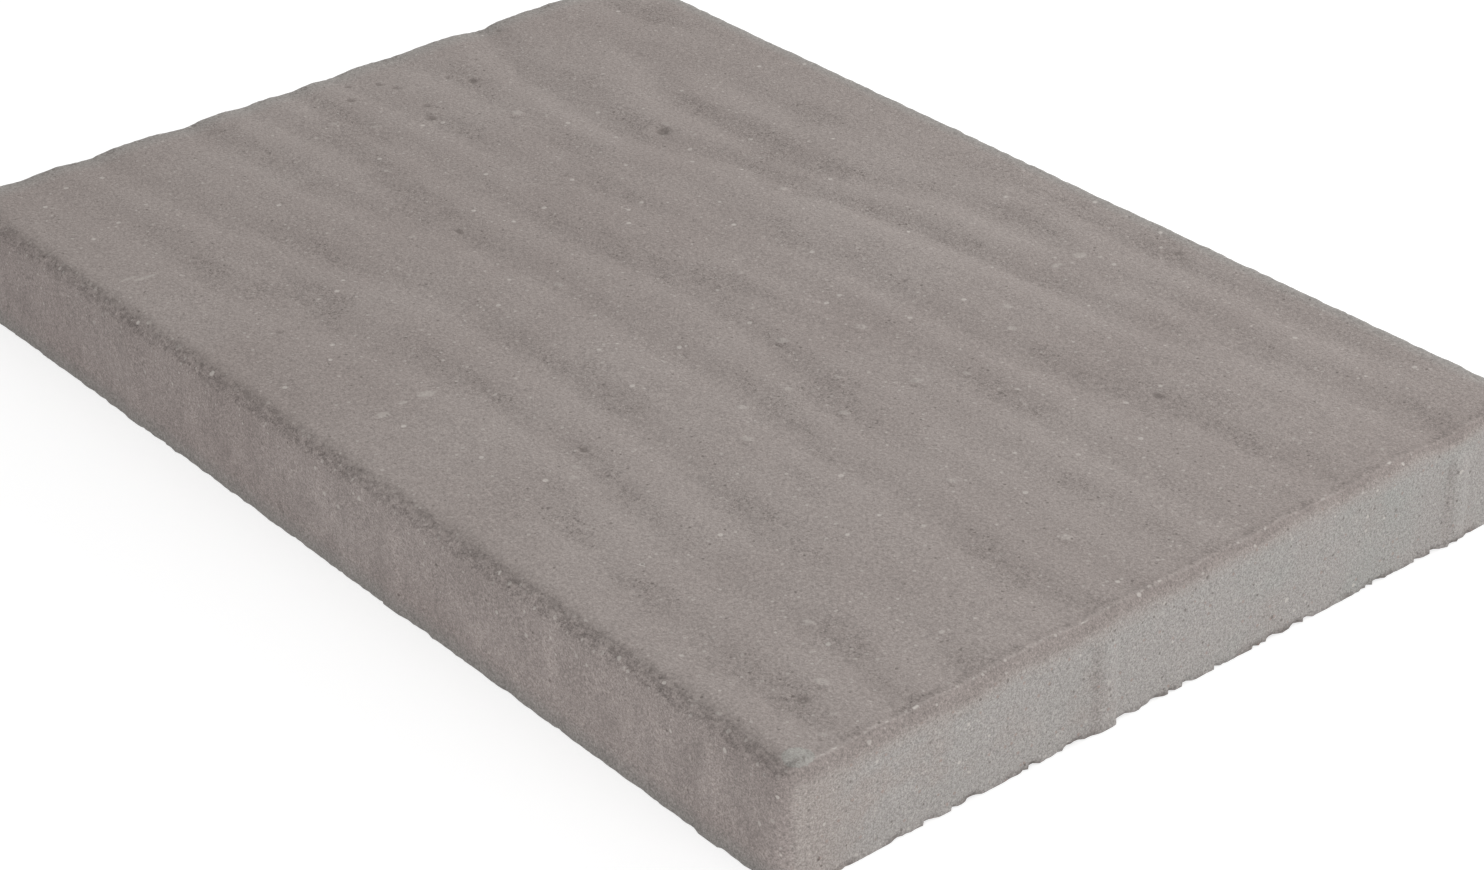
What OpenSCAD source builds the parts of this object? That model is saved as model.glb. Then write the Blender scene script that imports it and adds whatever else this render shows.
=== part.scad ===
// Concrete paving slab with a rippled, stone-like top face and spacer nibs on its edge faces.
// Millimetres. +Z is up and the slab lies on Z = 0. The origin is the middle of the
// underside, +X runs along the long side and +Y along the short side.

/* [Slab] */
// Long side, without the spacer nibs
slab_length = 600; // [300:10:750]
// Short side, without the spacer nibs
slab_width = 400; // [200:10:500]
// Underside to the crests of the top face
slab_thickness = 52; // [35:1:100]
// Radius of the four upright corners, seen from above
corner_radius = 10; // [7:1:25]
// Width and drop of the worn edge on three sides of the top face
arris_size = 4; // [2:0.5:8]
// Width and drop of the worn edge on the -Y side, which is worn most
front_arris_size = 6.5; // [2:0.5:8]

/* [Grooves of the top face] */
// Depth of a groove with a share of 1, where no other groove meets it
groove_depth = 1.9; // [0:0.1:4]
// Distance to each side of a groove's line at which about a third of its depth is left
groove_reach = 10.5; // [8:0.5:20]
// Length over which a groove runs out at its ends
groove_fade = 45; // [10:5:100]

/* [Spacer nibs] */
// Distance between two nibs on one edge face
nib_pitch = 200; // [100:10:300]
// Corner of the slab to the middle of the nearest nib
nib_end_gap = 45; // [40:1:90]
// Width of a nib where it meets the edge face
nib_width = 14; // [8:1:30]
// How far a nib stands off the edge face
nib_projection = 2; // [0.5:0.5:4]
// Height of the tapered top of a nib
nib_taper = 6; // [1:1:12]
// Top of a nib to the foot of the worn edge
nib_top_gap = 2; // [0:1:10]

/* [Hidden] */
$fn = 96;
concrete = [0.58, 0.555, 0.54];
// Largest cell of the top face's grid, along and across the slab
cell_x = 18;
cell_y = 6;
// Grid lines over the worn edge, as shares of its width from the edge face
arris_lines = [0, 0.2, 0.45, 0.7, 1];
// How far a shape runs on into or past its neighbour, so that they cut cleanly
overlap = 4;
// Depth behind the edge face at which the tapered top of a nib ends
taper_end = 0.2;

// Share of the full groove depth of each groove, and the points of its line. The points are
// in millimetres on a slab of this length and width, and they stretch with the slab's own.
pattern_size = [600, 400];
grooves = [
    [0.45, [[-360, 155], [-245, 169], [-190, 180]]],
    [0.7, [[-200, 151], [-125, 147], [-95, 156], [-60, 164]]],
    [0.8, [[40, 180], [95, 173], [190, 176], [275, 178]]],
    [0.9, [[-250, 140], [-210, 136], [-165, 115], [-45, 119], [-20, 134], [5, 147], [105, 148]]],
    [0.8, [[55, 112], [95, 128], [110, 142], [125, 148], [150, 151], [175, 146], [200, 139],
        [230, 144], [360, 150]]],
    [1, [[-360, 110], [-300, 100], [-230, 81], [-145, 75], [-95, 97], [-45, 98], [10, 111],
        [80, 120], [130, 123], [195, 126]]],
    [0.4, [[-185, 80], [-145, 73], [-120, 86], [-95, 97], [-50, 98]]],
    [0.55, [[-360, 38], [-300, 44], [-240, 51], [-190, 51], [-120, 42]]],
    [0.75, [[-100, 60], [-15, 58], [30, 64], [110, 62], [160, 66], [193, 71], [207, 80],
        [250, 83], [360, 86]]],
    [0.3, [[165, 66], [215, 59], [245, 59], [270, 66], [330, 66]]],
    [0.6, [[-150, 18], [-75, 37], [-40, 39], [-10, 35], [20, 40], [115, 35], [360, 32]]],
    [0.6, [[-360, 0], [-220, 15], [-165, 17], [-90, 5]]],
    [0.5, [[-30, 12], [50, 20], [105, 19], [160, 4], [360, 1]]],
    [0.65, [[-360, -26], [-215, -11], [-90, -13], [-50, -9], [-15, 1], [10, 1], [80, -12],
        [120, -22], [165, -21]]],
    [0.35, [[110, -22], [200, -20], [250, -26], [360, -23]]],
    [0.7, [[-360, -47], [-255, -41], [-212, -33], [-195, -40], [-115, -45], [75, -43], [140, -51],
        [175, -46], [215, -52], [360, -58]]],
    [0.95, [[-360, -80], [-250, -75], [-165, -64], [-95, -53]]],
    [0.8, [[-360, -137], [-190, -120], [-168, -109], [-120, -103], [-90, -91], [-65, -86],
        [-30, -91], [80, -91], [150, -106], [200, -109]]],
    [0.65, [[215, -97], [250, -104], [275, -114], [360, -116]]],
    [0.65, [[-175, -128], [-60, -137], [-25, -129], [75, -123], [150, -140], [360, -143]]],
    [0.5, [[-360, -172], [-235, -170]]],
    [0.55, [[-300, -158], [-130, -153], [-60, -144]]],
    [0.6, [[75, -152], [125, -160], [165, -171], [360, -176]]],
];
shares = [for (groove = grooves) groove[0]];

// Share of a groove's depth that is left at a distance inside one of its ends
function run_out(distance) = min(max(distance / groove_fade, 0), 1);

// Share of its full depth that a groove has at a place on the top face
function groove_share(x, y, line) = let(
    stretch = [slab_length / pattern_size.x, slab_width / pattern_size.y],
    from_start = x - line[0].x * stretch.x,
    to_end = line[len(line) - 1].x * stretch.x - x,
    away = y - lookup(x / stretch.x, line) * stretch.y
) run_out(from_start) * run_out(to_end) * exp(-pow(away / groove_reach, 2));

// Depth of all the grooves together
function grooves_at(x, y) =
    groove_depth * shares * [for (groove = grooves) groove_share(x, y, groove[1])];

// Distance inwards from the slab's outline, negative outside it
function inset(x, y) = let(
    past_x = abs(x) - slab_length / 2 + corner_radius,
    past_y = abs(y) - slab_width / 2 + corner_radius
) corner_radius - norm([max(past_x, 0), max(past_y, 0)]) - min(max(past_x, past_y), 0);

// Drop of a worn edge, steep at the edge face and level where it meets the top face
function worn_drop(distance, size) = size * pow(max(1 - distance / size, 0), 2);

function top_level(x, y) = slab_thickness - grooves_at(x, y) - max(
    worn_drop(inset(x, y), arris_size),
    worn_drop(y + slab_width / 2, front_arris_size)
);

// Grid lines from one edge of the relief to the other, close together over the worn edges
function grid_lines(side, cell, first_arris) = let(
    start = first_arris - side / 2,
    field = side / 2 - arris_size - start,
    cells = ceil(field / cell)
) concat(
    [-side / 2 - overlap],
    [for (s = arris_lines) s * first_arris - side / 2],
    [for (i = [1 : cells - 1]) start + field * i / cells],
    [for (i = [len(arris_lines) - 1 : -1 : 0]) side / 2 - arris_lines[i] * arris_size],
    [side / 2 + overlap]
);

// Solid with the grooves and the worn edge as its top, larger than the slab on all other sides
module relief() {
    xs = grid_lines(slab_length, cell_x, arris_size);
    ys = grid_lines(slab_width, cell_y, front_arris_size);
    nx = len(xs);
    ny = len(ys);
    // Numbers of the points around the grid, in the order of one walk around it
    rim = concat(
        [for (i = [0 : nx - 2]) i * ny],
        [for (j = [0 : ny - 2]) (nx - 1) * ny + j],
        [for (i = [nx - 1 : -1 : 1]) i * ny + ny - 1],
        [for (j = [ny - 1 : -1 : 1]) j]
    );
    top = [for (x = xs, y = ys) [x, y, top_level(x, y)]];
    foot = [for (k = rim) [top[k].x, top[k].y, -overlap]];
    foot_start = len(top);
    foot_middle = foot_start + len(foot);
    polyhedron(
        points = concat(top, foot, [[0, 0, -overlap]]),
        faces = concat(
            [for (i = [0 : nx - 2], j = [0 : ny - 2], half = [0, 1]) let(k = i * ny + j)
                half == 0 ? [k, k + 1, k + ny + 1] : [k, k + ny + 1, k + ny]],
            [for (i = [0 : len(rim) - 1], part = [0 : 2]) let(
                j = (i + 1) % len(rim), a = foot_start + i, b = foot_start + j
            ) part == 0 ? [rim[i], rim[j], b] : part == 1 ? [rim[i], b, a] : [foot_middle, a, b]]
        )
    );
}

module outline() {
    square([slab_length - 2 * corner_radius, slab_width], center = true);
    square([slab_length, slab_width - 2 * corner_radius], center = true);
    for (x = [-1, 1] * (slab_length / 2 - corner_radius), y = [-1, 1] * (slab_width / 2 - corner_radius))
        translate([x, y]) circle(r = corner_radius);
}

// Rounded rib on an edge face that lies along X, standing out towards -Y
module nib() {
    radius = (pow(nib_width / 2, 2) + pow(nib_projection, 2)) / (2 * nib_projection);
    top = slab_thickness - max(arris_size, front_arris_size) - nib_top_gap;
    intersection() {
        translate([-nib_width / 2 - overlap, -nib_projection, 0])
            cube([nib_width + 2 * overlap, nib_projection + overlap, top]);
        translate([0, radius - nib_projection, 0]) {
            cylinder(r = radius, h = top - nib_taper);
            translate([0, 0, top - nib_taper])
                cylinder(r1 = radius, r2 = radius - nib_projection - taper_end, h = nib_taper);
        }
    }
}

// Nibs along one edge face, counted from its +X end
module nib_row(side) {
    for (i = [0 : floor((side - 2 * nib_end_gap) / nib_pitch)])
        translate([side / 2 - nib_end_gap - i * nib_pitch, 0, 0]) nib();
}

module slab() {
    color(concrete) {
        intersection() {
            linear_extrude(slab_thickness + overlap) outline();
            relief();
        }
        for (turn = [0, 180]) rotate(turn) {
            translate([0, -slab_width / 2, 0]) nib_row(slab_length);
            rotate(90) translate([0, -slab_length / 2, 0]) nib_row(slab_width);
        }
    }
}

slab();
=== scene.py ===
"""Concrete paving slab: cast-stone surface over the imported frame, studio floor, lights, camera."""
import math

import bpy
import numpy as np
from mathutils import Matrix, Vector
from mathutils.bvhtree import BVHTree


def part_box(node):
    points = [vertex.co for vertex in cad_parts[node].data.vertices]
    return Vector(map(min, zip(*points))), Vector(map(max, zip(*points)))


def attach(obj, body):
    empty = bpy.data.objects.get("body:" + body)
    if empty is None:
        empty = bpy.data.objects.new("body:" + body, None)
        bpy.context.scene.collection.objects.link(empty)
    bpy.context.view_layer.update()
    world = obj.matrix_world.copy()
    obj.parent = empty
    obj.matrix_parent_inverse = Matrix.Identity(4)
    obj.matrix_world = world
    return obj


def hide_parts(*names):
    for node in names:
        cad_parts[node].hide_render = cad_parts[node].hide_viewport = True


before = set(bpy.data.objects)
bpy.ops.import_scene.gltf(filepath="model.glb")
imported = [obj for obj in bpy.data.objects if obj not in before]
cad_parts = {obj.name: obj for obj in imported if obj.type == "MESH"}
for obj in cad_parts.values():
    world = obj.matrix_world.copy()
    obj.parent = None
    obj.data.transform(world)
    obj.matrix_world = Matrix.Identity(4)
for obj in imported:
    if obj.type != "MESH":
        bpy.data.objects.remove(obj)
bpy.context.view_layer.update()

MM = 0.001

# ---------------------------------------------------------------- the slab's sizes, in mm
NIB_OUT = 2.0
NIB_WIDTH = 14.0
NIB_PITCH = 200.0
NIB_END_GAP = 45.0
NIB_TOP = 43.5
NIB_TAPER = 6.0
TAPER_END = 0.2
CORNER = 10.0
ARRIS = 4.0
FRONT_ARRIS = 6.5
# The node's box includes the nibs on all four edge faces
NODE_LOW, NODE_HIGH = (np.array(corner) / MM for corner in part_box("slab"))
HALF_X = (NODE_HIGH[0] - NODE_LOW[0]) / 2 - NIB_OUT
HALF_Y = (NODE_HIGH[1] - NODE_LOW[1]) / 2 - NIB_OUT
CREST = NODE_HIGH[2]

# Grid of the visible mesh: distances of its lines from the edge face over the worn edge, its
# largest cell, and its rows down the edge faces as shares of their height
EDGE_LINES = np.array([0, 0.7, 1.4, 2.2, 3.1, 4.1, 5.2, 6.6, 8.2, 10.0])
CELL = 1.95
SIDE_ROWS = np.concatenate([[0, 0.02, 0.045], np.linspace(0.08, 0.92, 19),
                            [0.945, 0.965, 0.985, 1.0]])

# Grooves: how far they waver, how much their depth varies, and how much their creases are sharpened
WAVER = 0.8
DEPTH_CHANGE = 0.2
SHARPEN = 0.3
# Stand-out of the -Y face at its foot, and the mean setback of the whole surface into the solid
DRAFT = 1.3
SETBACK = 0.12
# Lowest place of all points that aren't on the ground
LOWEST = 0.2

# Scatters of small hollows and small stones: cell, share of the cells that have one, seed,
# smallest and largest radius, and greatest height, which is below 0 for hollows
SCATTERS = ((17, 0.40, 40, 1.2, 2.3, -0.6), (24, 0.5, 60, 1.4, 3.0, 0.8))
# The larger hollows of the top face, each with a stone behind it, and its larger stones, each with
# a small hollow in front: place as shares of the half sizes, and radius in mm. They were picked by
# eye on the photo, but a scratch script worked out all 18 places of the stones and 8 of the 13 of
# the hollows, through the solved camera, and they were rounded afterwards.
HOLLOWS = ((-0.46, 0.46, 4.0), (-0.82, 0.29, 3.0), (-0.75, 0.09, 3.0), (-0.79, 0.12, 2.4),
           (-0.86, 0.26, 1.9), (-0.94, 0.04, 1.9), (-0.91, 0.10, 1.9), (-0.88, 0.12, 2.1),
           (-0.89, 0.00, 2.3), (-0.39, -0.21, 2.2), (0.66, 0.43, 2.6), (0.89, -0.83, 2.6),
           (0.25, -0.59, 2.4))
STONES = ((-0.67, 0.26, 3.2), (-0.78, -0.04, 2.0), (-0.63, -0.16, 2.0), (-0.42, -0.31, 2.0),
          (-0.15, -0.20, 2.6), (0.24, 0.17, 2.9), (0.20, 0.00, 2.8), (0.41, -0.10, 2.6),
          (0.38, -0.32, 2.6), (0.64, -0.12, 2.4), (0.39, 0.40, 2.3), (0.34, 0.46, 2.3),
          (0.41, 0.10, 2.8), (0.44, 0.20, 2.0), (0.88, -0.77, 3.0), (0.77, -0.66, 2.3),
          (0.96, -0.87, 2.0), (0.84, -0.10, 2.7))
# Pale scuffs of the top face, read off a plan of it: place as shares of the half sizes,
# half length along Y and half width in mm
SCUFFS = ((-0.58, -0.90, 8, 1.1), (-0.57, -0.87, 6, 1.0), (-0.01, -0.70, 5, 2.6),
          (-0.01, -0.76, 2.5, 1.6), (0.00, -0.82, 4, 1.8), (0.28, -0.64, 3.5, 1.3),
          (0.30, -0.67, 3, 1.3), (0.29, 0.75, 3.5, 3.0), (0.29, 0.68, 3, 2.0))
# Worn corners of the top face, their paleness partly a painted highlight: side along X and Y, and
# how strongly. The wear is strongest at a spot inwards from both edge faces, and reaches some way from
# it.
CORNERS = ((1, -1, 1.0), (-1, -1, 0.7), (1, 1, 0.5), (-1, 1, 0.6))
WEAR_AND_HIGHLIGHT_INSET_X = 7.0
WEAR_AND_HIGHLIGHT_INSET_Y = 10.0
WEAR_AND_HIGHLIGHT_REACH = (3.0, 9.0)


# ---------------------------------------------------------------- noise in mesh code
def smooth(t):
    """Smoother step from 0 to 1."""
    return t * t * t * (t * (t * 6 - 15) + 10)


def step(low, high, v):
    """0 below low, 1 above high, smooth between."""
    t = np.clip((v - low) / (high - low), 0, 1)
    return t * t * (3 - 2 * t)


def hash01(cells, seed):
    """One number from 0 to 1 for each integer cell."""
    with np.errstate(over="ignore"):
        c = cells.astype(np.uint64)
        h = (c[..., 0] * np.uint64(0x9E3779B185EBCA87) ^ c[..., 1] * np.uint64(0xC2B2AE3D27D4EB4F)
             ^ c[..., 2] * np.uint64(0x165667B19E3779F9) ^ np.uint64(seed * 0x27D4EB2F + 11))
        h ^= h >> np.uint64(31)
        h *= np.uint64(0x7FB5D329728EA185)
        h ^= h >> np.uint64(27)
        h *= np.uint64(0x81DADEF4BC2DD44D)
        h ^= h >> np.uint64(33)
    return (h >> np.uint64(11)).astype(np.float64) / float(1 << 53)


def noise(p, size, seed):
    """Smooth noise from -1 to 1 with lumps of about that size, or sizes along x, y and z."""
    q = p / np.asarray(size, float)
    base = np.floor(q)
    f = smooth(q - base)
    base = base.astype(np.int64)
    out = np.zeros(len(p))
    for dx in (0, 1):
        for dy in (0, 1):
            for dz in (0, 1):
                w = ((f[:, 0] if dx else 1 - f[:, 0]) * (f[:, 1] if dy else 1 - f[:, 1])
                     * (f[:, 2] if dz else 1 - f[:, 2]))
                out += w * hash01(base + np.array([dx, dy, dz]), seed)
    return out * 2 - 1


def layered(p, size, seed, layers=3, gain=0.5):
    """Layers of noise, each of half the size and with gain times the strength of the last."""
    size = np.asarray(size, float)
    total = sum(gain ** k for k in range(layers))
    return sum(gain ** k * noise(p, size / 2 ** k, seed + 17 * k) for k in range(layers)) / total


def spots(p, cell, seed, share):
    """Distance to the nearest of some points scattered one to a cell, and that point's number."""
    base = np.floor(p / cell).astype(np.int64)
    best = np.full(len(p), 1e9)
    number = np.zeros(len(p))
    for dx in (-1, 0, 1):
        for dy in (-1, 0, 1):
            for dz in (-1, 0, 1):
                c = base + np.array([dx, dy, dz])
                at = (c + np.stack([hash01(c, seed + k) for k in (1, 2, 3)], -1)) * cell
                d = np.linalg.norm(p - at, axis=1)
                d[hash01(c, seed + 4) > share] = 1e9
                near = d < best
                best[near] = d[near]
                number[near] = hash01(c, seed + 5)[near]
    return best, number


# ---------------------------------------------------------------- the slab's base shape
def worn_drop(distance, size):
    """Drop of a worn edge at a distance inwards from the edge face."""
    return size * np.clip(1 - distance / size, 0, None) ** 2


def inset_of(x, y):
    """Distance inwards from the slab's outline."""
    past_x, past_y = abs(x) - HALF_X + CORNER, abs(y) - HALF_Y + CORNER
    outer = np.hypot(np.clip(past_x, 0, None), np.clip(past_y, 0, None))
    return CORNER - outer - np.clip(np.maximum(past_x, past_y), None, 0)


def edge_drop(x, y):
    return np.maximum(worn_drop(inset_of(x, y), ARRIS), worn_drop(y + HALF_Y, FRONT_ARRIS))


def grooved_level(x, y):
    """Height of the CAD solid's grooved top, without its worn edge, on a grid of places."""
    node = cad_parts["slab"]
    verts = [node.matrix_world @ v.co for v in node.data.vertices]
    tree = BVHTree.FromPolygons(verts, [p.vertices[:] for p in node.data.polygons])
    margin = 0.5
    # the grooves waver a little
    flat = np.stack([x.ravel(), y.ravel(), 0 * x.ravel()], -1)
    y = y + WAVER * layered(flat, 34, 5, 2).reshape(x.shape)
    x = np.clip(x, -HALF_X + ARRIS + margin, HALF_X - ARRIS - margin)
    y = np.clip(y, -HALF_Y + FRONT_ARRIS + margin, HALF_Y - ARRIS - margin)
    down = Vector((0, 0, -1))
    well_above = CREST * MM + 0.1
    hits = [tree.ray_cast(Vector((a, b, well_above)), down)[0].z / MM
            for a, b in zip(x.ravel() * MM, y.ravel() * MM)]
    level = np.array(hits).reshape(x.shape) + edge_drop(x, y)
    change = DEPTH_CHANGE * noise(flat, (48, 16, 1), 7).reshape(x.shape)
    level = CREST - (CREST - level) * (1 + change)
    level = blurred(blurred(level, 0, 4), 1, 1)
    # creases a little sharper than the solid's coarse grid gives them
    return level + SHARPEN * (level - blurred(level, 1, 4))


def blurred(values, axis, reach):
    """Running mean over the neighbours within reach, twice."""
    for _ in range(2):
        pad = [(reach, reach) if a == axis else (0, 0) for a in (0, 1)]
        wide = np.pad(values, pad, mode="edge")
        n = values.shape[axis]
        shifted = (np.take(wide, range(k, k + n), axis) for k in range(2 * reach + 1))
        values = sum(shifted) / (2 * reach + 1)
    return values


def grid_lines(half):
    """Places of the grid's lines across the slab, close together over the worn edges."""
    inner = half - EDGE_LINES[-1]
    n = int(round(2 * inner / CELL))
    middle = np.linspace(-inner, inner, n + 1)[1:-1]
    return np.concatenate([-half + EDGE_LINES, middle, half - EDGE_LINES[::-1]])


def nib_standoff(along, half, z):
    """How far the nibs of one edge face stand out at a place along it, the first near its upper end."""
    radius = (NIB_WIDTH ** 2 / 4 + NIB_OUT ** 2) / (2 * NIB_OUT)
    shrink = np.clip(z - (NIB_TOP - NIB_TAPER), 0, None) * (NIB_OUT + TAPER_END) / NIB_TAPER
    out = np.zeros_like(along)
    for i in range(int((2 * half - 2 * NIB_END_GAP) // NIB_PITCH) + 1):
        away = along - (half - NIB_END_GAP - i * NIB_PITCH)
        square = np.clip((radius - shrink) ** 2 - away ** 2, 0, None)
        out = np.maximum(out, np.sqrt(square) - (radius - NIB_OUT))
    return out


def bent_corners(x, y):
    """Moves the square corners of the grid onto the round corners of the slab."""
    a = (abs(x) - HALF_X + CORNER) / CORNER
    b = (abs(y) - HALF_Y + CORNER) / CORNER
    reach = np.maximum(a, b)
    share = np.minimum(a, b) / np.where(reach > 0, reach, 1)
    angle = np.where(a >= b, share * math.pi / 4, math.pi / 2 - share * math.pi / 4)
    corner = (a > 0) & (b > 0)
    bx = HALF_X - CORNER + CORNER * reach * np.cos(angle)
    by = HALF_Y - CORNER + CORNER * reach * np.sin(angle)
    return np.where(corner, np.sign(x) * bx, x), np.where(corner, np.sign(y) * by, y)


def outwards(x, y):
    """Unit direction out of the edge face at places on the slab's outline."""
    out_x = x - np.clip(x, -HALF_X + CORNER, HALF_X - CORNER)
    out_y = y - np.clip(y, -HALF_Y + CORNER, HALF_Y - CORNER)
    size = np.hypot(out_x, out_y)
    return out_x / size, out_y / size


def nibs_on(x, y, out_x, out_y, z):
    """How far the nibs stand out, and their flanks: below 0 on those that face -X or -Y."""
    nib, flank = np.zeros_like(z), np.zeros_like(z)
    for face, along, half, sign in ((-out_y, x, HALF_X, 1), (out_x, y, HALF_Y, 1),
                                    (out_y, -x, HALF_X, -1), (-out_x, -y, HALF_Y, -1)):
        on = face > 0.99
        along = np.broadcast_to(along, z.shape)
        nib += np.where(on, nib_standoff(along, half, z), 0)
        rise = nib_standoff(along - 1, half, z) - nib_standoff(along + 1, half, z)
        flank += np.where(on, sign * rise, 0)
    return nib, flank


def base_shape():
    """The slab's smooth surface: a grid for the top, rows round the edge faces, and an underside."""
    xs, ys = grid_lines(HALF_X), grid_lines(HALF_Y)
    on_top = len(xs) * len(ys)
    x, y = bent_corners(*np.meshgrid(xs, ys, indexing="ij"))
    level = grooved_level(x, y)
    slope = np.gradient(level, axis=1) / np.maximum(np.gradient(y, axis=1), 0.1)
    z = level - edge_drop(x, y)
    k = np.arange(on_top).reshape(x.shape)
    x, y, z, slope, level = (v.ravel() for v in (x, y, z, slope, level))
    quads = np.stack([k[:-1, :-1], k[1:, :-1], k[1:, 1:], k[:-1, 1:]], -1).reshape(-1, 4)

    # the walk round the rim, and the rows of points below it
    rim = np.concatenate([k[:-1, 0], k[-1, :-1], k[:0:-1, -1], k[0, :0:-1]])
    out_x, out_y = outwards(x[rim], y[rim])
    rows = SIDE_ROWS[1:]
    side_z = z[rim] * (1 - rows[:, None])
    nib, flank = nibs_on(x[rim], y[rim], out_x, out_y, side_z)
    side_points = np.stack([x[rim] + out_x * nib, y[rim] + out_y * nib, side_z], -1)
    verts = np.concatenate([np.stack([x, y, z], -1), side_points.reshape(-1, 3)])
    below = side_z.size
    ring = np.concatenate([rim[None, :], on_top + np.arange(below).reshape(side_z.shape)])
    after = np.roll(ring, -1, axis=1)
    side = np.stack([ring[:-1], ring[1:], after[1:], after[:-1]], -1).reshape(-1, 4)

    # distance across the rim: inwards on the top less the drop, negative down the edge faces
    inset = np.concatenate([inset_of(x, y), np.zeros(below)])
    sunk = np.concatenate([CREST - level, np.zeros(below)])
    across = inset - (CREST - verts[:, 2]) + sunk
    nearer_long = step(-3, 3, (HALF_X - abs(x)) - (HALF_Y - abs(y)))
    return {"verts": verts, "quads": quads, "side": side, "bottom": ring[-1][::-1],
            "across": across, "sunk": sunk,
            "long": np.concatenate([nearer_long, np.tile(out_y ** 2, len(rows))]),
            "slope": np.concatenate([slope, np.zeros(below)]),
            "flank": np.concatenate([np.zeros(on_top), flank.ravel()])}


def normals_of(verts, quads):
    """Normal of each point, the mean of its faces' normals."""
    n = np.cross(verts[quads[:, 2]] - verts[quads[:, 0]], verts[quads[:, 3]] - verts[quads[:, 1]])
    out = np.zeros_like(verts)
    for c in range(4):
        np.add.at(out, quads[:, c], n)
    return out / np.maximum(np.linalg.norm(out, axis=1, keepdims=True), 1e-9)


# ---------------------------------------------------------------- relief on the base shape
def lens(flat, x, y, radius):
    """Oval spot, longer along X: 1 in its middle and 0 outside."""
    return 1 - step(0.35, 1.1, np.hypot((flat[:, 0] - x) / 1.3, flat[:, 1] - y) / radius)


def stones_and_hollows(flat):
    """Height of the stones above the top face, hollows below 0, and how pale or dark each is."""
    d, mark = np.zeros(len(flat)), np.zeros(len(flat))
    for cell, share, seed, low, high, height in SCATTERS:
        away, number = spots(flat, cell, seed, share)
        radius = low + (high - low) * number
        spot = 1 - step(0.45, 1.1, away / radius)
        d += height * (0.2 + 0.8 * number ** 2) * spot
        mark += math.copysign(1, height) * number ** 2 * spot
    for share_x, share_y, radius in HOLLOWS:
        x, y = share_x * HALF_X, share_y * HALF_Y
        hollow = lens(flat, x, y, radius)
        stone = lens(flat, x - 0.9 * radius, y + 1.2 * radius, 0.6 * radius)
        d += radius * (0.22 * stone - 0.34 * hollow)
        mark += 0.6 * stone - hollow
    for share_x, share_y, radius in STONES:
        x, y = share_x * HALF_X, share_y * HALF_Y
        stone = lens(flat, x, y, radius)
        hollow = lens(flat, x + 0.7 * radius, y - 1.1 * radius, 0.6 * radius)
        d += radius * (0.24 * stone - 0.15 * hollow)
        mark += 0.8 * stone - 0.7 * hollow
    return d, mark


def scuffs(flat):
    """1 in the scuffs and 0 outside."""
    out = np.zeros(len(flat))
    for share_x, share_y, long_way, short_way in SCUFFS:
        away_x = (flat[:, 0] - share_x * HALF_X) / short_way
        away_y = (flat[:, 1] - share_y * HALF_Y) / long_way
        out = np.maximum(out, 1 - step(0.5, 1.2, np.hypot(away_x, away_y)))
    return out


def worn_and_highlit_corners(flat):
    """Strength of the wear, and of the painted highlight, near each corner."""
    out = np.zeros(len(flat))
    for side_x, side_y, strength in CORNERS:
        away = np.hypot(flat[:, 0] * side_x - HALF_X + WEAR_AND_HIGHLIGHT_INSET_X,
                        flat[:, 1] * side_y - HALF_Y + WEAR_AND_HIGHLIGHT_INSET_Y)
        out = np.maximum(out, strength * (1 - step(*WEAR_AND_HIGHLIGHT_REACH, away)))
    return out


def bell(value, middle, width):
    """1 at the middle, and about a third of that one width away."""
    return np.exp(-((value - middle) / width) ** 2)


def top_relief(v, flat, facing, open_place):
    """Lumps drawn out along the grooves, sand, and the pits of the open places."""
    lumps = 0.16 * layered(flat, (36, 9, 1), 3, 3, 0.6)
    sand = (0.08 + 0.05 * facing) * layered(v, 4.2, 9, 2, 0.7)
    pits = 0.22 * np.clip(layered(flat, (4.4, 3.6, 1), 27, 2, 0.7), -0.3, 1)
    return lumps + sand - open_place * pits


def rim_relief(flat, across, long_side, front):
    """A low lip with a shallow channel inside it on the short sides; the -Y side sinks to its edge."""
    ragged = np.clip(0.5 + 1.1 * layered(flat, 13, 33, 2), 0, 1.3)
    lip = 0.18 * bell(across, 3.0, 1.3) - 0.24 * bell(across, 5.7, 1.7)
    return (1 - long_side) * ragged * lip - front * 0.4 * (1 - step(5, 11, across))


def side_relief(v, front):
    """Shallow waves, sand, marks drawn upwards by the mould, pores, and the draft of the -Y face."""
    d = 0.2 * layered(v, (26, 26, 14), 71)
    d += 0.1 * layered(v, 4.0, 75, 2, 0.7)
    d += 0.12 * noise(v, (3.5, 3.5, 45), 77)
    away, number = spots(v, 10, 80, 0.3)
    d -= 0.4 * (1 - step(0.4, 1.1, away / (1.1 + number)))
    return d + front * DRAFT * (1 - v[:, 2] / CREST)


def worn_relief(v, across, front):
    """The crumbled edge, most of all on the -Y side."""
    worn = np.where(front > 0.5, step(-6, -1, across) * (1 - step(6, 9.5, across)),
                    step(-4, -1, across) * (1 - step(2.5, 5, across)))
    d = (0.5 + 0.75 * front) * (layered(v, 4.6, 90, 3, 0.65) - 0.2)
    away, number = spots(v, 9, 95, 0.35)
    d -= (0.35 + 0.6 * front) * (1 - step(0.3, 1.2, away / (1.4 + 1.9 * number)))
    return worn * d


def foot_relief(v, front):
    """The ragged foot: lumps on the -Y side, and small notches on the others."""
    chips = layered(v * np.array([1, 1, 0.4]), 5.5, 101, 3, 0.7)
    foot, low = 1 - step(0.5, 5.0, v[:, 2]), 1 - step(0.3, 3.2, v[:, 2])
    notched = 0.7 * foot - 1.8 * low * step(0, 0.32, chips)
    return np.where(front > 0.5, foot * (0.75 * chips + 0.1), notched)


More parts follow.
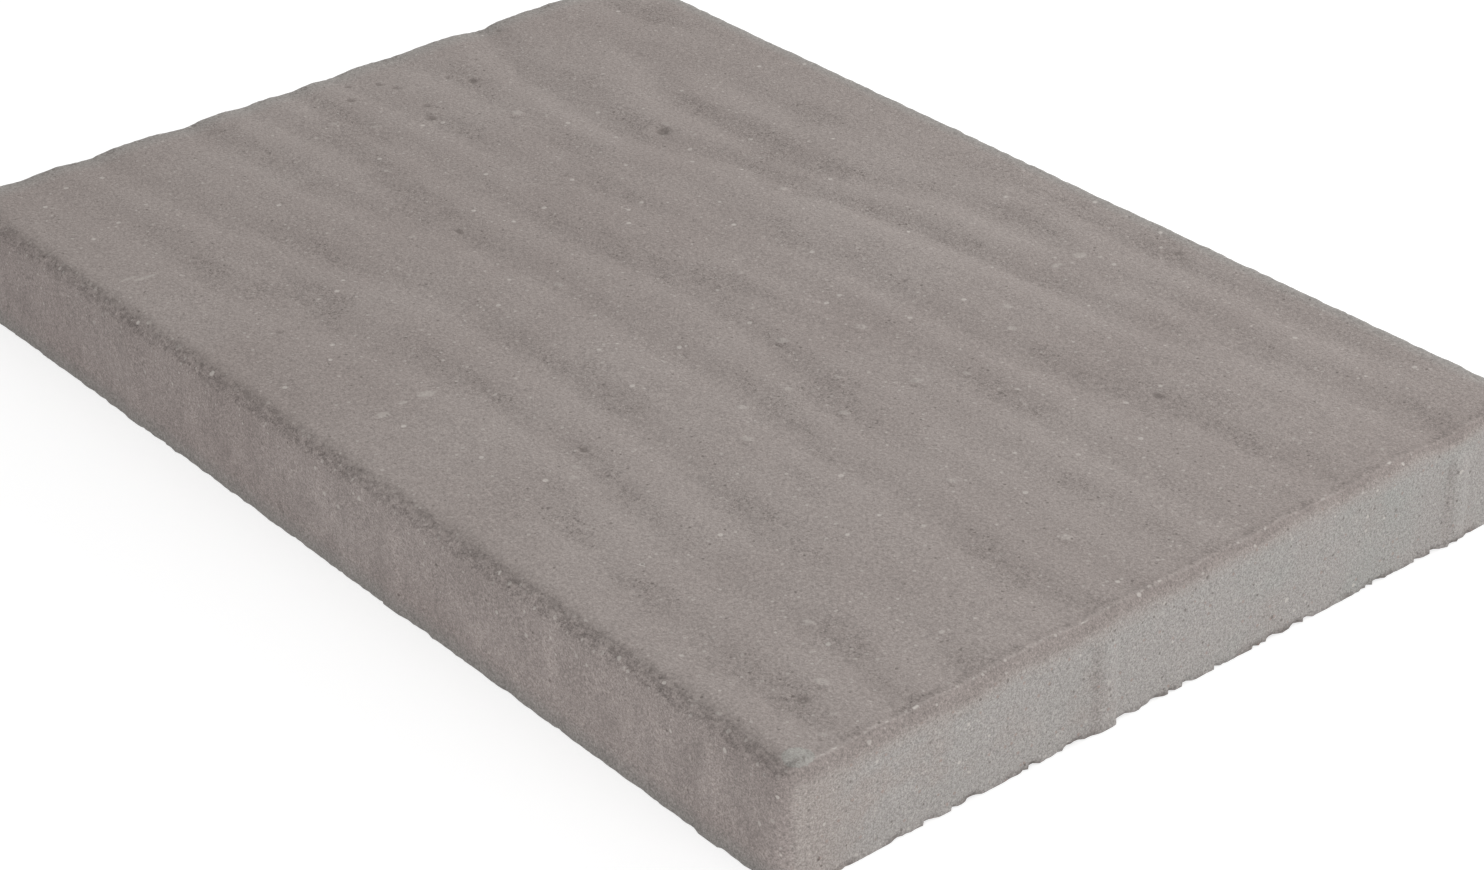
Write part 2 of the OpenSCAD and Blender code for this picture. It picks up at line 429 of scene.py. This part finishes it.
def relief(shape):
    """Moves the base shape's points along their normals, and says which zone each point is in."""
    v = shape["verts"]
    normal = normals_of(v, np.concatenate([shape["quads"], shape["side"]]))
    flat = v * np.array([1, 1, 0])
    top = step(0.45, 0.9, normal[:, 2])
    side = 1 - top
    across, long_side = shape["across"], shape["long"]
    front = long_side * (v[:, 1] < 0)
    # the slopes that face -Y have more open places
    facing = np.clip(0.5 + 3.5 * shape["slope"] + 0.15 * shape["sunk"], 0, 1)
    open_place = step(0.15, 0.7, layered(flat, (50, 20, 1), 21) + 0.9 * (facing - 0.5))
    stones, mark = stones_and_hollows(flat)
    corner = worn_and_highlit_corners(flat)
    d = top * (top_relief(v, flat, facing, open_place) + stones - 0.2 * corner
               + rim_relief(flat, across, long_side, front))
    d += side * (side_relief(v, front) + foot_relief(v, front)) + worn_relief(v, across, front)

    # the ground points stay on the ground, and all others stay above it and in the node's box
    on_ground = v[:, 2] < 0.01
    move = normal * (d - SETBACK)[:, None]
    move[on_ground, 2] = 0
    out = v + move
    out[:, 2] = np.where(on_ground, 0, np.clip(out[:, 2], LOWEST, CREST))
    for axis in (0, 1):
        out[:, axis] = np.clip(out[:, axis], NODE_LOW[axis], NODE_HIGH[axis])
    zones = {"across": across, "long": long_side, "front": front, "side": side,
             "open": open_place * top, "facing": facing * top, "mark": mark * top,
             "scuff": scuffs(flat) * top, "corner": corner * top, "flank": shape["flank"]}
    return out, zones


def slab_surface():
    """The visible mesh of the slab, with its zones as attributes for the material."""
    shape = base_shape()
    verts, zones = relief(shape)
    faces = np.concatenate([shape["quads"], shape["side"]]).tolist() + [shape["bottom"].tolist()]
    mesh = bpy.data.meshes.new("slab_surface")
    mesh.from_pydata((verts * MM).tolist(), [], faces)
    mesh.polygons.foreach_set("use_smooth", [True] * len(mesh.polygons))
    mesh.update()
    mesh.set_sharp_from_angle(angle=math.radians(70))
    for name, values in zones.items():
        layer = mesh.attributes.new("zone_" + name, "FLOAT", "POINT")
        layer.data.foreach_set("value", values.astype(np.float32))
    slab = bpy.data.objects.new("slab_surface", mesh)
    bpy.context.scene.collection.objects.link(slab)
    return slab


# ---------------------------------------------------------------- materials
class Graph:
    """Short names for the nodes of one material."""

    def __init__(self, name):
        self.material = bpy.data.materials.new(name)
        self.material.use_nodes = True
        self.tree = self.material.node_tree
        self.tree.nodes.clear()
        self.out = self.tree.nodes.new("ShaderNodeOutputMaterial")
        self.place = self.tree.nodes.new("ShaderNodeTexCoord").outputs["Object"]

    def node(self, kind, inputs=(), **settings):
        n = self.tree.nodes.new(kind)
        for key, value in settings.items():
            setattr(n, key, value)
        for key, value in dict(inputs).items():
            self.put(n.inputs[key], value)
        return n

    def put(self, socket, value):
        if isinstance(value, bpy.types.NodeSocket):
            self.tree.links.new(value, socket)
        else:
            socket.default_value = value

    def stretched(self, scale):
        """Place with a scale of its own along each axis."""
        return self.node("ShaderNodeMapping", {"Vector": self.place, "Scale": scale}).outputs[0]

    def noise(self, scale, detail=2.0, rough=0.5, place=None):
        n = self.node("ShaderNodeTexNoise", {
            "Vector": place or self.place, "Scale": scale, "Detail": detail, "Roughness": rough})
        return n.outputs["Fac"]

    def cells(self, scale):
        """Scatter of points, one to a cell: distance to the nearest, and its random colour."""
        n = self.node("ShaderNodeTexVoronoi", {"Vector": self.place, "Scale": scale})
        return n.outputs["Distance"], n.outputs["Color"]

    def zone(self, name):
        """Value that the mesh holds for a zone at this place."""
        return self.node("ShaderNodeAttribute", attribute_name="zone_" + name).outputs["Fac"]

    def math(self, how, a, b=0.0):
        n = self.node("ShaderNodeMath", operation=how)
        self.put(n.inputs[0], a)
        self.put(n.inputs[1], b)
        return n.outputs[0]

    def times(self, a, *others):
        for b in others:
            a = self.math("MULTIPLY", a, b)
        return a

    def plus(self, a, *others):
        for b in others:
            a = self.math("ADD", a, b)
        return a

    def span(self, value, low, high, to_low=0.0, to_high=1.0):
        """Goes from to_low at low to to_high at high, and no further."""
        n = self.node("ShaderNodeMapRange", {
            "Value": value, "From Min": low, "From Max": high, "To Min": to_low, "To Max": to_high})
        return n.outputs[0]

    def mix(self, share, a, b, how="MIX"):
        n = self.node("ShaderNodeMix", data_type="RGBA", blend_type=how)
        self.put(n.inputs[0], share)
        self.put(n.inputs[6], a)
        self.put(n.inputs[7], b)
        return n.outputs[2]

    def grey(self, value):
        n = self.node("ShaderNodeCombineColor", {"Red": value, "Green": value, "Blue": value})
        return n.outputs[0]

    def part(self, colour, channel):
        """One channel of a colour, or one axis of a place."""
        return self.node("ShaderNodeSeparateColor", {"Color": colour}).outputs[channel]

    def grains(self, scatter, share, radius, channel, crisp=0.7):
        """Grains in some cells of a scatter: 1 in a grain, 0 outside, and each grain's number."""
        far, tag = scatter
        chosen = self.math("LESS_THAN", self.part(tag, channel), share)
        spot = self.times(chosen, self.span(far, radius, radius * crisp))
        return spot, self.part(tag, (channel + 1) % 3)


FACE = (0.319, 0.278, 0.2595, 1)
FACE_LIGHT = (0.3505, 0.310, 0.2905, 1)
FACE_DARK = (0.262, 0.227, 0.212, 1)
# Dark colour for painted shade in clefts, pits, fine relief and at the foot, and for dark chips and
# hollows
SHADE_AND_CHIP_DARK = (0.140, 0.119, 0.108, 1)
FOOT_COOL = (0.283, 0.272, 0.258, 1)
BACKING = (0.370, 0.3485, 0.333, 1)
BACKING_PINK = (0.364, 0.326, 0.3045, 1)
RED_GRAIN = (0.33, 0.235, 0.205, 1)
BACKING_COOL = (0.3485, 0.3485, 0.331, 1)
CORNER_PALE = (0.370, 0.358, 0.334, 1)
SCUFF_AND_HIGHLIGHT_PALE = (0.47, 0.43, 0.40, 1)
PALE_GRAIN = (0.64, 0.60, 0.56, 1)
PORE = (0.110, 0.092, 0.083, 1)
# Multipliers of the long edge faces: painted light that grows towards +X, and darker again at its corner
LONG_LOW_X = (0.985, 0.970, 0.982, 1)
LONG_HIGH_X = (1.086, 1.079, 1.087, 1)
LONG_CORNER = (0.955, 0.941, 0.947, 1)


class Concrete(Graph):
    """The slab's material, with the places, zones and textures that its layers share."""

    def __init__(self):
        super().__init__("cast_concrete")
        self.colour = FACE
        self.x, self.y, self.z = (self.part(self.place, axis) for axis in range(3))
        self.across, self.front, self.open = map(self.zone, ("across", "front", "open"))
        self.short = self.span(self.zone("long"), 0.6, 0.2)
        # changes over 40 mm, patches of 3 to 12 mm, sand, and clefts drawn along the slab
        self.slow = self.noise(24, 3, 0.6)
        self.patchy = self.noise(85, 4, 0.65)
        self.ragged = self.span(self.noise(560, 4, 0.72), 0.3, 0.7)
        clefts = self.noise(1, 4, 0.75, self.stretched((300, 480, 480)))
        self.clefts = self.span(clefts, 0.50, 0.60)
        self.fine, self.middle, self.coarse, self.crumbs = map(self.cells, (330, 200, 110, 240))
        self.rough = self.times(self.open, self.span(self.patchy, 0.36, 0.58))
        self.band = self.worn_band()
        self.rim_at = self.plus(self.across, self.span(self.patchy, 0.3, 0.7, 0.9, -0.9))
        self.ridge = self.times(self.short, self.span(self.rim_at, 1.7, 2.4),
                                self.span(self.rim_at, 3.7, 3.1), self.span(self.patchy, 0.48, 0.54))
        self.pale, self.own_grey = self.backing_shares()

    def worn_band(self):
        """The crumbled band along the -Y edge, where shade is painted, fading here and there."""
        at = self.plus(self.across, self.span(self.patchy, 0.25, 0.75, -2.2, 2.2))
        band = self.times(self.span(at, 7.2, 4.2), self.span(at, -8.5, -2.5))
        return self.times(band, self.span(self.slow, 0.38, 0.60, 0.4, 1.0), self.front)

    def backing_shares(self):
        """How far the backing concrete shows on the short edge faces, and how far in its own grey."""
        wander = self.span(self.slow, 0.3, 0.7, -2.0, 2.0)
        start = self.span(self.y, -0.19, 0.12, 5.5, -0.5)
        far_end = self.span(self.x, 0.05, -0.05, 0.0, 6.0)
        line = self.plus(self.across, wander, start, far_end)
        pale = self.times(self.span(line, 0.0, -5.0), self.short)
        corner = self.span(self.plus(self.y, self.times(wander, 0.004)), -0.190, -0.165)
        stains = self.times(self.span(self.noise(34, 4, 0.6), 0.54, 0.68),
                            self.span(self.y, 0.0, -0.15, 0.35, 0.9))
        clean = self.math("SUBTRACT", 1.0, stains)
        return pale, self.times(self.span(line, -2.5, -10.0), corner, clean)

    def paint(self, colour, *shares, how="MIX"):
        """Lays a colour over the one so far, by the product of the shares."""
        self.colour = self.mix(self.times(*shares), self.colour, colour, how)

    def shade(self, value, share=1.0):
        """Multiplies the colour so far by a value."""
        self.paint(self.grey(value), share, how="MULTIPLY")


def face_layer(g):
    """The walking face: painted shade on -Y slopes and in lines at the short rims; grey tinge at far
    rims.
    """
    g.paint(FACE_LIGHT, g.span(g.noise(9, 3, 0.6), 0.35, 0.65))
    g.paint(FACE_DARK, g.span(g.noise(1, 4, 0.6, g.stretched((20, 75, 75))), 0.42, 0.75), 0.12)
    # painted shade on the slopes that face -Y, away from the key light, and in the deeper places
    g.paint(FACE_DARK, g.zone("facing"), 0.03)
    # painted shade: a dark line under the pale ridge of the short rims, and in the channel inside it
    rim = g.times(g.short, g.span(g.across, 2.4, 1.4), 0.6)
    channel = g.times(g.short, g.span(g.across, 7.6, 5.8), g.span(g.across, 4.0, 5.4), 0.25)
    g.paint(FACE_DARK, g.plus(rim, channel))
    far_short = g.times(g.span(g.x, -0.27, -0.29), g.span(g.across, 16.0, 2.0))
    far_long = g.times(g.span(g.y, 0.18, 0.19), g.span(g.across, 11.0, 4.0))
    g.paint(BACKING_COOL, g.math("MAXIMUM", far_short, far_long), 0.6)


def long_face_layer(g):
    """The long edge faces: painted light towards +X, blotches, painted shade at the top, a darker, cooler
    foot.
    """
    side = g.times(g.zone("side"), g.math("SUBTRACT", 1.0, g.short))
    # painted light: the long faces lighter towards +X, where more of the lamps' light falls on them
    painted_light_along_x = g.mix(g.span(g.x, -0.27, 0.18), LONG_LOW_X, LONG_HIGH_X)
    g.paint(g.mix(g.span(g.x, 0.22, 0.29), painted_light_along_x, LONG_CORNER), side, how="MULTIPLY")
    g.shade(g.span(g.noise(1, 5, 0.75, g.stretched((60, 60, 36))), 0.3, 0.7, 0.84, 1.16), side)
    # painted shade along the top of the long faces; the faces also grow darker towards the foot
    dark = g.plus(g.span(g.z, 0.018, 0.002), g.span(g.z, 0.028, 0.040))
    g.paint(FACE_DARK, dark, side, 0.21)
    g.paint(FOOT_COOL, g.span(g.z, 0.010, 0.001), side, 0.8)


def backing_layer(g):
    """The backing concrete of the short edge faces, pink where it isn't in its own grey."""
    cool = g.times(g.span(g.slow, 0.45, 0.70), g.span(g.y, -0.05, 0.05, 0.25, 0.8))
    g.paint(g.mix(g.own_grey, BACKING_PINK, g.mix(cool, BACKING, BACKING_COOL)), g.pale)


def wear_light_and_shade_layer(g):
    """Pale worn corners, partly a painted highlight, and painted shade on the crumbled band and its
    clefts.
    """
    # the pale corners are partly a painted highlight, strongest at the near corner
    corner = g.plus(g.zone("corner"), g.times(g.ragged, 0.3))
    g.paint(CORNER_PALE, g.span(corner, 0.60, 0.72), 0.9)
    # painted shade: the crumbled band darkened broadly, and its clefts darker still
    g.paint(FACE_DARK, g.band, 0.20)
    g.paint(SHADE_AND_CHIP_DARK, g.band, g.clefts, 0.42)


def painted_shade_layer(g):
    """Painted shade: specks in open places, fine relief lines, nib flanks facing -X or -Y, the foot's
    line.
    """
    # painted shade of the pits in the open places
    g.paint(SHADE_AND_CHIP_DARK, g.rough, g.span(g.ragged, 0.54, 0.67), 0.17)
    # painted shadows of fine relief, drawn as thin dark lines, more of them in open places
    crinkle = g.math("ABSOLUTE", g.plus(g.noise(230, 3, 0.7), -0.5))
    g.paint(SHADE_AND_CHIP_DARK, g.span(crinkle, 0.028, 0.006), g.plus(0.14, g.times(g.rough, 0.40)))
    # painted shade on the nibs' flanks that face -X or -Y, away from the lamps
    g.paint(FACE_DARK, g.span(g.zone("flank"), -0.1, -0.9), g.span(g.short, 0, 1, 0.2, 0.32))
    # painted shadow along the foot of the short edge faces
    foot = g.times(g.span(g.z, 0.0035, 0.0010), g.short, g.span(g.patchy, 0.42, 0.60))
    g.paint(SHADE_AND_CHIP_DARK, foot, 0.6)


def sand_layer(g):
    """Sand of uneven tone, with finer dust between, stronger on the edge faces."""
    g.shade(g.span(g.noise(720, 2, 0.7), 0.25, 0.75, 0.77, 1.23))
    dust = g.span(g.noise(1500, 2, 0.6), 0.3, 0.7, -1, 1)
    g.shade(g.plus(1.0, g.times(dust, g.span(g.zone("side"), 0, 1, 0.145, 0.29))))


def stone_layer(g):
    """Stones, hollows darkened by dirt and painted shadow, and scuffs of the top face."""
    mark, broken = g.zone("mark"), g.span(g.ragged, 0.2, 0.7, 0.35, 1.0)
    g.paint(PALE_GRAIN, g.span(mark, 0.15, 0.6), broken, 0.34)
    # hollows painted dark: partly dirt, partly painted shadow in front of the stones
    g.paint(SHADE_AND_CHIP_DARK, g.span(mark, -0.2, -0.75), 0.45)
    g.paint(SCUFF_AND_HIGHLIGHT_PALE, g.span(g.zone("scuff"), 0.2, 0.7), broken, 0.8)


def ridge_layer(g):
    """The short rims' thin pale ridge, pale crumbs with a painted highlight, and dark chips inside it."""
    # pale crumbs along the short rims' ridge, with a painted highlight on its crest
    g.paint(SCUFF_AND_HIGHLIGHT_PALE, g.ridge, g.span(g.ragged, 0.35, 0.7), 0.30)
    chips = g.times(g.short, g.span(g.rim_at, 3.0, 3.8), g.span(g.rim_at, 8.5, 6.0))
    g.paint(SHADE_AND_CHIP_DARK, chips, g.span(g.patchy, 0.50, 0.42), g.span(g.ragged, 0.45, 0.65), 0.5)


def grain_layer(g):
    """Pale grains everywhere, more of them where the surface is broken, and red ones in the backing."""
    for scatter, share, radius, faint, bright in (
            (g.fine, 0.20, 0.24, 0.08, 0.45), (g.middle, 0.26, 0.18, 0.12, 0.7),
            (g.coarse, 0.13, 0.15, 0.2, 0.65)):
        spot, number = g.grains(scatter, share, radius, 1)
        g.paint(PALE_GRAIN, spot, g.span(number, 0, 1, faint, bright))
    for scatter, share, radius, where, bright in (
            (g.crumbs, 0.34, 0.26, g.band, 0.7), (g.coarse, 0.35, 0.16, g.band, 1.0),
            (g.crumbs, 0.75, 0.34, g.ridge, 0.8), (g.fine, 0.30, 0.25, g.rough, 0.4)):
        spot, number = g.grains(scatter, share, radius, 0, 0.8)
        g.paint(PALE_GRAIN, spot, where, g.span(number, 0, 1, 0.3 * bright, bright))
    g.paint(RED_GRAIN, g.grains(g.fine, 0.16, 0.28, 2)[0], g.pale, 0.5)


def pore_layer(g):
    """Ragged pores, more of them in open places, in the backing and in the crumbled band."""
    openness = g.plus(0.05, g.times(g.rough, 0.38), g.times(g.pale, 0.18), g.times(g.band, 0.11))
    raggedness = 0.16
    for (far, tag), share, radius in ((g.fine, 0.7, 0.25), (g.middle, 0.5, 0.19)):
        closed = g.math("SUBTRACT", 1.0, g.times(openness, share))
        chosen = g.math("GREATER_THAN", g.part(tag, 2), closed)
        far = g.plus(far, g.times(g.ragged, raggedness))
        spot = g.span(far, radius + raggedness / 2, radius / 2 + raggedness / 2)
        g.paint(PORE, chosen, spot, 0.6)


def bumpy_normal(g):
    """Normal with the relief of the sand, and of the clefts and crumbs of the -Y edge."""
    edge = g.times(g.front, g.span(g.across, 8.0, 5.5), g.span(g.across, -7.0, -3.0))
    sand = g.times(g.ragged, g.plus(0.42, g.times(g.open, 0.15)))
    height = g.plus(sand, g.times(g.clefts, edge, -0.45), g.times(g.crumbs[0], edge, -0.9))
    return g.node("ShaderNodeBump", {"Height": height, "Strength": 1.0, "Distance": 0.0005}).outputs[0]


def concrete():
    """The finished material: all layers in order, and a rough bumpy surface."""
    g = Concrete()
    for layer in (face_layer, long_face_layer, backing_layer, wear_light_and_shade_layer, painted_shade_layer, sand_layer,
                  stone_layer, ridge_layer, grain_layer, pore_layer):
        layer(g)
    shader = g.node("ShaderNodeBsdfPrincipled", {
        "Base Color": g.colour, "Normal": bumpy_normal(g),
        "Roughness": g.span(g.noise(200), 0.3, 0.7, 0.82, 0.96)})
    shader.inputs["Specular IOR Level"].default_value = 0.25
    g.put(g.out.inputs["Surface"], shader.outputs[0])
    return g.material


slab = slab_surface()
slab.data.materials.append(concrete())
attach(slab, "root")
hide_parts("slab")


# ---------------------------------------------------------------- studio
def studio_floor(glow):
    """Pale floor that lights the slab like card, and that the camera sees as white with a soft shadow."""
    bpy.ops.mesh.primitive_plane_add(size=12, location=(0, 0, -0.0002))
    floor = bpy.context.object
    floor.name = "studio_floor"
    g = Graph("studio_floor")
    lit = g.node("ShaderNodeBsdfDiffuse", {"Color": (0.9, 0.9, 0.9, 1)}).outputs[0]
    half_lit = g.node("ShaderNodeBsdfDiffuse", {"Color": (0.55, 0.55, 0.55, 1)}).outputs[0]
    light = g.node("ShaderNodeEmission", {"Color": (1, 1, 1, 1), "Strength": glow}).outputs[0]
    seen = g.node("ShaderNodeAddShader")
    g.put(seen.inputs[0], half_lit)
    g.put(seen.inputs[1], light)
    ray = g.node("ShaderNodeLightPath").outputs
    direct = g.math("MAXIMUM", g.math("MAXIMUM", ray["Is Camera Ray"], ray["Is Glossy Ray"]),
                    ray["Is Transmission Ray"])
    choose = g.node("ShaderNodeMixShader", {"Fac": direct})
    g.put(choose.inputs[1], lit)
    g.put(choose.inputs[2], seen.outputs[0])
    g.put(g.out.inputs["Surface"], choose.outputs[0])
    floor.data.materials.append(g.material)


def background(tree, strength):
    """White light of that strength from all sides."""
    n = tree.nodes.new("ShaderNodeBackground")
    n.inputs["Color"].default_value = (1, 1, 1, 1)
    n.inputs["Strength"].default_value = strength
    return n.outputs[0]


def studio_world(strength):
    """Even light of that strength, which the camera sees as plain white."""
    world = bpy.data.worlds.new("studio_world")
    world.use_nodes = True
    tree = world.node_tree
    tree.nodes.clear()
    out = tree.nodes.new("ShaderNodeOutputWorld")
    ray = tree.nodes.new("ShaderNodeLightPath")
    mix = tree.nodes.new("ShaderNodeMixShader")
    tree.links.new(ray.outputs["Is Camera Ray"], mix.inputs["Fac"])
    tree.links.new(background(tree, strength), mix.inputs[1])
    tree.links.new(background(tree, 1.0), mix.inputs[2])
    tree.links.new(mix.outputs[0], out.inputs["Surface"])
    bpy.context.scene.world = world


def softbox(name, place, size, power):
    """Round soft lamp that faces the slab."""
    slab_middle = Vector((0, 0, 0.03))
    data = bpy.data.lights.new(name, "AREA")
    data.shape = "DISK"
    data.size = size
    data.energy = power
    lamp = bpy.data.objects.new(name, data)
    lamp.location = place
    lamp.rotation_mode = "QUATERNION"
    lamp.rotation_quaternion = (slab_middle - Vector(place)).to_track_quat("-Z", "Y")
    bpy.context.scene.collection.objects.link(lamp)


def camera(azimuth, elevation, roll, distance, target, focal_length):
    """Camera that looks at the target, its azimuth counted from -Y towards +X."""
    data = bpy.data.cameras.new("camera")
    data.lens = focal_length
    data.sensor_width = 36
    data.clip_start, data.clip_end = 0.05, 50
    cam = bpy.data.objects.new("camera", data)
    a, e, r = (math.radians(v) for v in (azimuth, elevation, roll))
    back = Vector((math.sin(a) * math.cos(e), -math.cos(a) * math.cos(e), math.sin(e)))
    right = Vector((0, 0, 1)).cross(back).normalized()
    up = back.cross(right)
    x_axis = right * math.cos(r) + up * math.sin(r)
    y_axis = up * math.cos(r) - right * math.sin(r)
    turn = Matrix((x_axis, y_axis, back)).transposed()
    cam.matrix_world = Matrix.Translation(Vector(target) + back * distance) @ turn.to_4x4()
    bpy.context.scene.collection.objects.link(cam)
    bpy.context.scene.camera = cam


studio_floor(glow=0.62)
studio_world(strength=0.62)
softbox("key", (0.35, 2.1, 0.95), size=0.9, power=31)
softbox("fill", (0.8, -1.75, 0.7), size=1.5, power=6)
softbox("side_fill", (2.3, -0.1, 0.7), size=1.4, power=11.5)
camera(azimuth=50.97, elevation=30.41, roll=-1.21, distance=1.3709,
       target=(0.1076, -0.0617, 0.05), focal_length=81.94)
bpy.context.scene.view_settings.view_transform = "Standard"
